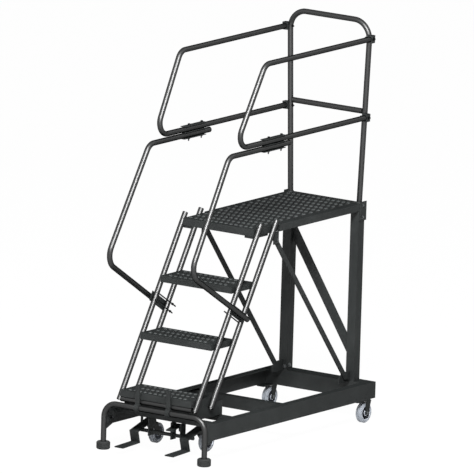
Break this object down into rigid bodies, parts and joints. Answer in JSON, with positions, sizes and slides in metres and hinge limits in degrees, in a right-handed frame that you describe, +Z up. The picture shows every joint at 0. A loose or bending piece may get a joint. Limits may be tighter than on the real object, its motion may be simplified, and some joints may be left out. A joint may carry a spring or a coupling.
{
  "type": "rolling work platform ladder",
  "caption": "Rolling steel work platform with grip treads, a long standing deck, guard rails, stair rails and a foot-operated caster lock.",
  "frame": {"origin": "on the floor under the centre of the bounding box", "axes": "+Z up, +Y from the stair foot to the rear, +X to the climber's right"},
  "size_m": [0.661, 1.5157, 1.9835],
  "materials": {
    "black_powder_coat": "satin",
    "foot_rubber": "matt",
    "wheel_rubber": "matt",
    "fork_steel": "satin"
  },
  "bodies": {
    "frame": {"deck": "black_powder_coat", "front_crossmember": "black_powder_coat", "front_leg_tube": "black_powder_coat", "left_foot_tip": "foot_rubber", "left_front_gusset": "black_powder_coat", "left_front_stringer": "black_powder_coat", "left_guard_rail": "black_powder_coat", "left_joint_clamp": "black_powder_coat", "left_post_clamps": "black_powder_coat", "left_post_gusset": "black_powder_coat", "left_rear_fork": "fork_steel", "left_rear_post": "black_powder_coat", "left_rear_stringer": "black_powder_coat", "left_side_brace": "black_powder_coat", "left_side_rail": "black_powder_coat", "left_stair_rail": "black_powder_coat", "left_step_bracket": "black_powder_coat", "left_stringer_clamp": "black_powder_coat", "leg_straps": "black_powder_coat", "mid_crossmember": "black_powder_coat", "pedal_stop": "black_powder_coat", "pivot_brackets": "black_powder_coat", "rear_crossmember": "black_powder_coat", "rear_diagonal_brace": "black_powder_coat", "rear_handrail": "black_powder_coat", "rear_mid_rail": "black_powder_coat", "right_foot_tip": "foot_rubber", "right_front_gusset": "black_powder_coat", "right_front_stringer": "black_powder_coat", "right_guard_rail": "black_powder_coat", "right_joint_clamp": "black_powder_coat", "right_post_clamps": "black_powder_coat", "right_post_gusset": "black_powder_coat", "right_rear_fork": "fork_steel", "right_rear_post": "black_powder_coat", "right_rear_stringer": "black_powder_coat", "right_side_brace": "black_powder_coat", "right_side_rail": "black_powder_coat", "right_stair_rail": "black_powder_coat", "right_step_bracket": "black_powder_coat", "right_stringer_clamp": "black_powder_coat", "step_cross_tube": "black_powder_coat", "step_crossmember": "black_powder_coat", "tread_1": "black_powder_coat", "tread_2": "black_powder_coat", "tread_3": "black_powder_coat"},
    "pedal_frame": {"pedal_frame": "black_powder_coat"},
    "release_pedal": {"release_pedal": "black_powder_coat"},
    "left_rear_wheel": {"left_rear_wheel": "wheel_rubber"},
    "left_front_wheel": {"left_front_wheel": "wheel_rubber"},
    "left_front_fork": {"left_front_fork": "fork_steel"},
    "right_rear_wheel": {"right_rear_wheel": "wheel_rubber"},
    "right_front_wheel": {"right_front_wheel": "wheel_rubber"},
    "right_front_fork": {"right_front_fork": "fork_steel"}
  },
  "joints": [
    {"name": "left_rear_wheel_spin", "type": "hinge", "parent": "frame", "child": "left_rear_wheel", "pos_m": [-0.278, 0.68832, 0.05], "axis": [1, 0, 0], "continuous": true},
    {"name": "right_rear_wheel_spin", "type": "hinge", "parent": "frame", "child": "right_rear_wheel", "pos_m": [0.278, 0.68832, 0.05], "axis": [1, 0, 0], "continuous": true},
    {"name": "pedal_lift", "type": "hinge", "parent": "frame", "child": "pedal_frame", "pos_m": [0, -0.59268, 0.104], "axis": [-1, 0, 0], "range_deg": [0, 16]},
    {"name": "left_front_swivel", "type": "hinge", "parent": "pedal_frame", "child": "left_front_fork", "pos_m": [-0.1475, -0.49361, 0.13943], "axis": [0, -0.2756, 0.9613], "continuous": true},
    {"name": "left_front_wheel_spin", "type": "hinge", "parent": "left_front_fork", "child": "left_front_wheel", "pos_m": [-0.1475, -0.44958, 0.06571], "axis": [1, 0, 0], "continuous": true},
    {"name": "right_front_swivel", "type": "hinge", "parent": "pedal_frame", "child": "right_front_fork", "pos_m": [0.1475, -0.49361, 0.13943], "axis": [0, -0.2756, 0.9613], "continuous": true},
    {"name": "right_front_wheel_spin", "type": "hinge", "parent": "right_front_fork", "child": "right_front_wheel", "pos_m": [0.1475, -0.44958, 0.06571], "axis": [1, 0, 0], "continuous": true},
    {"name": "release_press", "type": "hinge", "parent": "frame", "child": "release_pedal", "pos_m": [0.08, -0.58268, 0.158], "axis": [1, 0, 0], "range_deg": [0, 12], "stiffness_Nm_per_rad": 1, "springref_deg": -17.19}
  ]
}
